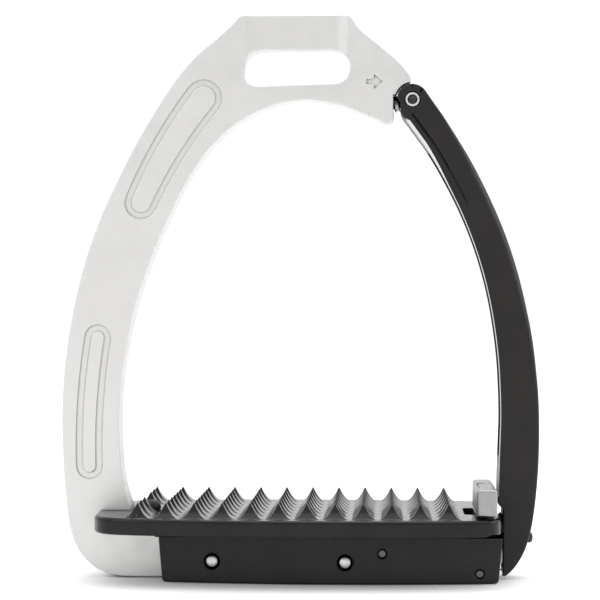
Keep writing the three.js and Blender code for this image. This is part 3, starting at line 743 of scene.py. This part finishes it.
def teeth_patch(bm, loop):
    """The field of teeth as one fine surface that sits on the deck."""
    pitch, fine = TEETH["pitch"], 24
    columns, rows = TEETH["columns"] * fine, TEETH["rows"] * fine
    x0 = TEETH["centre_x"] - TEETH["columns"] * pitch / 2
    y0 = -TEETH["rows"] * pitch / 2
    step = pitch / fine
    low = TREAD["top"] - 0.25
    room = TREAD_SCREW_ROOM_R
    grid = []
    for j in range(rows + 1):
        line = []
        for i in range(columns + 1):
            x, y = x0 + i * step, y0 + j * step
            across = abs((i % fine) - fine / 2) * step
            deep = abs((j % fine) - fine / 2) * step
            rise = TEETH["height"] * min(flank(across), flank(deep))
            border = i in (0, columns) or j in (0, rows)
            hole = math.hypot(x - TREAD_HOLE[0], y - TREAD_HOLE[1]) - room
            if -0.25 < hole < 0:
                shrink = room / (hole + room)
                x = TREAD_HOLE[0] + (x - TREAD_HOLE[0]) * shrink
                y = TREAD_HOLE[1] + (y - TREAD_HOLE[1]) * shrink
            z = TREAD["top"] + 0.02 + rise
            near_rim = abs(y) > 22 or x < -46 or x > 44
            if near_rim:
                z = min(z, TREAD["top"] + 4 * (distance_inside((x, y), loop) - 0.9))
            if border or hole < -0.25:
                z = low
            line.append(bm.verts.new((x, y, max(low, z))))
        grid.append(line)
    made = []
    for j in range(rows):
        for i in range(columns):
            a, b, c, d = grid[j][i], grid[j][i + 1], grid[j + 1][i + 1], grid[j + 1][i]
            if max(v.co.z for v in (a, b, c, d)) <= low + 1e-6:
                continue
            rising = ((i % fine) < fine / 2) == ((j % fine) < fine / 2)
            triangles = ((a, b, c), (a, c, d)) if rising else ((a, b, d), (b, c, d))
            made += [bm.faces.new(t) for t in triangles]
    loose = [v for line in grid for v in line if not v.link_faces]
    bmesh.ops.delete(bm, geom=loose, context="VERTS")
    return made


def tread_deck():
    loop = tread_loop()
    sharp = [(0.25, 0), (0.07, 0.07), (0, 0.25)]
    loops = [loop, slot_loop(), circle_loop(*TREAD_HOLE, 1.9)]
    rims = [(round_rim(0.9), round_rim(1.1)), (sharp, sharp), (sharp, sharp)]
    bm = slab(loops, TREAD["bottom"], TREAD["top"], rims)
    teeth_patch(bm, loop)
    bm.normal_update()
    piece = finish_piece("tread_deck", scaled(bm), TREAD_BLACK, "tread", 50)
    even_normals(piece)
    return piece


# ---------------------------------------------------------------- housing, pins and screws


def housings():
    for node in ("housing_front", "housing_rear"):
        rounded(node + "_shell", cad_copy(node), BLACK, node, 0.55, smooth=24)


def hexagon_tool(radius, bottom, top):
    return lathe([(0, bottom), (radius, bottom), (radius, top), (0, top)], sides=6)


def socket_screw(node, head_r, head_height, shank_r, length, socket_r, axis, place):
    """A cap screw with a rounded rim and a hexagon socket."""
    profile = [
        (0, -length),
        (shank_r - 0.2, -length),
        (shank_r, -length + 0.3),
        (shank_r, -head_height),
        (head_r, -head_height),
        (head_r, 0),
        (socket_r * 1.25, 0),
        (socket_r * 1.1, -0.15),
        (0, -0.15),
    ]
    material = turned_steel(node + "_steel", place, "Z")
    bm = onto(lathe(softened(profile, 0.22)), axis, place)
    piece = finish_piece(node + "_cap", scaled(bm), material, node)
    tool = onto(hexagon_tool(socket_r, -0.62 * head_height, 1), axis, place)
    cut_with(piece, tool, "socket")
    even_normals(piece)
    return piece


def button_screw():
    """The black screw that stands on the tread in its clear room."""
    r, height, shank, length = 3.3, 2.9, 1.6, 12.6
    place = (*TREAD_HOLE, TREAD["top"] + 0.1)
    profile = [(0, -length), (shank - 0.2, -length), (shank, 0.2 - length), (shank, 0)]
    profile += [(r - 0.1, 0)]
    profile += [(r, 0.15), (r, 0.3 * height), (0.93 * r, 0.62 * height), (0.72 * r, 0.88 * height)]
    profile += [(0.5 * r, 0.99 * height), (0.42 * r, 0.99 * height), (0.36 * r, 0.93 * height)]
    profile += [(0, 0.93 * height)]
    bm = onto(lathe(softened(profile, 0.3)), "z", place)
    piece = finish_piece("button_screw", scaled(bm), BLACK, "tread_screw_top")
    cut_with(piece, onto(hexagon_tool(1.25, 0.45 * height, height + 1), "z", place), "socket")
    even_normals(piece)


def bowed_face_y(x):
    """Distance of the housing's bowed face from the middle plane."""
    left, right = -44.3, 62.4
    t = (2 * x - left - right) / (right - left)
    return 15.2 + (19.5 - 15.2) * (1 - t * t)


def housing_pins():
    for node, (x, z) in CROSS_PINS.items():
        end, r = bowed_face_y(x) - 0.2, 2.15
        dome = [(r * math.sin(a), end - 1.05 + 1.05 * math.cos(a)) for a in
                [math.pi / 2 * i / 9 for i in range(10)]]
        profile = [(a, -b) for a, b in dome] + list(reversed(dome))
        material = turned_steel(node + "_steel", (x, 0, z), "Y", 0.74, (0.3, 0.42))
        turned(node, profile, "y", (x, 0, z), material, soften=0)
    for node, (x, z) in SMALL_PINS.items():
        end, r = bowed_face_y(x) - 0.35, 1.25
        profile = [(0, -end), (r - 0.2, -end), (r, -end + 0.2)]
        profile += [(r, end - 0.2), (r - 0.2, end), (0, end)]
        material = turned_steel(node + "_steel", (x, 0, z), "Y", 0.13)
        turned(node, profile, "y", (x, 0, z), material, soften=0.1)


def hinge_pieces():
    x, z = HINGE
    front, r = -ARM_HALF + 0.15, 2.3
    steel = turned_steel("hinge_steel", (x, 0, z), "Y", 0.72)
    pin = [(0, front + 2.4), (1.5, front + 2.2), (1.5, front + 0.2), (1.62, front)]
    pin += [(r - 0.15, front)]
    pin += [(r, front + 0.2), (r, front + 1.3), (1.6, front + 1.3), (1.6, 3.4), (1.1, 3.4)]
    pin += [(1.1, 5.3), (0, 5.3)]
    turned("hinge_pin", pin, "y", (x, 0, z), steel, soften=0.06)
    back = ARM_HALF - 0.15
    nut = [(1.35, back - 1.9), (r, back - 1.9), (r, back - 0.25), (2.05, back), (1.35, back)]
    turned("hinge_pin_nut", nut, "y", (x, 0, z), steel, soften=0.1, closed=True)
    for node, low in (("hinge_washer_front", -2.8), ("hinge_washer_rear", 2.3)):
        ring = [(1.8, low), (3.7, low), (3.7, low + 0.5), (1.8, low + 0.5)]
        turned(node, ring, "y", (x, 0, z), NYLON, soften=0.08, closed=True)
    ring = [(1.75, -6), (2.45, -6), (2.65, -5.8), (2.65, -4.55), (2.45, -4.35), (1.75, -4.35)]
    steel = turned_steel("collar_steel", (x, 0, z), "X", 0.8)
    turned(
        "hinge_collar", ring, "x", (x, 0, z), steel, tilt=STUD_TILT, soften=0.12,
        closed=True,
    )
    rounded("hinge_eye", cad_copy("hinge_stud"), steel, "hinge_stud", 0.3)


def small_pieces():
    dome = [(0, 66.3), (1.1, 66.3), (1.1, 71.1), (1.75, 71.1), (1.75, 71.6), (1.5, 72.2)]
    dome += [(0.9, 72.55), (0, 72.7)]
    steel = turned_steel("striker_screw_steel", (0, 0, STRIKER_SCREW_Z), "X", 0.07)
    turned("striker_screw", dome, "x", (0, 0, STRIKER_SCREW_Z), steel)
    button = [(0, 61.8), (1.6, 61.8), (2, 62.1), (2, 62.65), (1.2, 62.65), (1.2, 65), (0, 65)]
    turned("arm_bumper", button, "x", (0, 0, BUMPER_Z), RUBBER, soften=0.15)
    rod = [(0, 45.8), (2.8, 45.8), (2.8, 47.3), (2.1, 47.6), (2.1, 52.4), (1.6, 53.3), (0, 53.65)]
    steel = turned_steel("plunger_steel", (0, 0, PLUNGER_Z), "X")
    turned("lever_plunger", rod, "x", (0, 0, PLUNGER_Z), steel)
    rounded("striker_block", cad_copy("striker"), BRUSHED_STEEL, "striker", 0.25)
    leaf = cad_copy("release_lever")
    rounded("lever_leaf", leaf, BRUSHED_STEEL, "release_lever", 0.4)
    seat = cad_copy("spring_seat")
    rounded("spring_seat_plug", seat, BRUSHED_STEEL, "spring_seat", 0.3)
    pad = cad_copy("lever_pedal")
    rounded("pedal_pad", pad, BRUSHED_PEDAL, "lever_pedal", 0.35)
    socket_screw("pedal_screw", 1.8, 1.6, 0.8, 11, 0.9, "z", PEDAL_SCREW)
    button_screw()
    for node, x in BASE_SCREWS.items():
        socket_screw(node, 3.0, 3.0, 1.6, 18, 1.5, "-z", (x, 0, 0.5))
    spring = frame["nodes"]["return_spring"]
    spring.data.materials.clear()
    spring.data.materials.append(SPRING_WIRE)


# ---------------------------------------------------------------- studio


def studio():
    floor_size = 30.0
    bm = bmesh.new()
    bmesh.ops.create_grid(bm, x_segments=40, y_segments=40, size=floor_size)
    mesh = bpy.data.meshes.new("floor")
    bm.to_mesh(mesh)
    bm.free()
    mesh.materials.append(FLOOR)
    floor = bpy.data.objects.new("floor", mesh)
    floor.location.z = -0.0002
    bpy.context.scene.collection.objects.link(floor)

    world = bpy.data.worlds.new("soft_room")
    world.use_nodes = True
    nodes, links = world.node_tree.nodes, world.node_tree.links
    direction = nodes.new("ShaderNodeTexCoord")
    split = nodes.new("ShaderNodeSeparateXYZ")
    links.new(direction.outputs["Generated"], split.inputs["Vector"])

    def math_node(operation, a, b):
        node = nodes.new("ShaderNodeMath")
        node.operation = operation
        for socket, value in zip(node.inputs, (a, b)):
            if isinstance(value, bpy.types.NodeSocket):
                links.new(value, socket)
            else:
                socket.default_value = value
        return node.outputs["Value"]

    behind = nodes.new("ShaderNodeMapRange")
    behind.interpolation_type = "SMOOTHSTEP"
    links.new(split.outputs["Y"], behind.inputs["Value"])
    for name, value in (("From Min", 0.1), ("From Max", 0.85), ("To Min", 0.76), ("To Max", 1.04)):
        behind.inputs[name].default_value = value
    from_left = math_node("MULTIPLY", split.outputs["X"], -0.05)
    from_above = math_node("MULTIPLY", split.outputs["Z"], 0.5)
    slant = math_node("ADD", from_left, from_above)
    strength = math_node("ADD", behind.outputs["Result"], slant)
    links.new(strength, nodes["Background"].inputs["Strength"])
    nodes["Background"].inputs["Color"].default_value = (1, 1, 1, 1)
    bpy.context.scene.world = world

    target = (0.0, 0.0, 0.08)
    lamps = [  # name, place, size, power
        ("overhead", (0.1, 0.1, 1.3), 1.6, 9.0),
        ("front_left", (-1.1, -1.0, 0.9), 0.9, 4.0),
        ("right", (1.2, 0.0, 0.6), 0.8, 4.5),
    ]
    for name, place, size, power in lamps:
        data = bpy.data.lights.new(name, "AREA")
        data.shape = "DISK"
        data.size = size
        data.energy = power
        lamp = bpy.data.objects.new(name, data)
        lamp.location = place
        lamp.rotation_euler = (Vector(target) - Vector(place)).to_track_quat("-Z", "Y").to_euler()
        bpy.context.scene.collection.objects.link(lamp)


def camera():
    data = bpy.data.cameras.new("camera")
    data.sensor_width = 36
    data.lens = 118.7
    data.clip_start, data.clip_end = 0.01, 50
    cam = bpy.data.objects.new("camera", data)
    cam.location = (0.02596, -0.62646, 0.0874)
    cam.rotation_euler = (math.radians(90), 0, math.radians(2.45))
    bpy.context.scene.collection.objects.link(cam)
    bpy.context.scene.camera = cam


frame_plate()
outer_branch()
tread_deck()
housings()
housing_pins()
hinge_pieces()
small_pieces()
studio()
camera()
bpy.context.scene.view_settings.view_transform = "Standard"
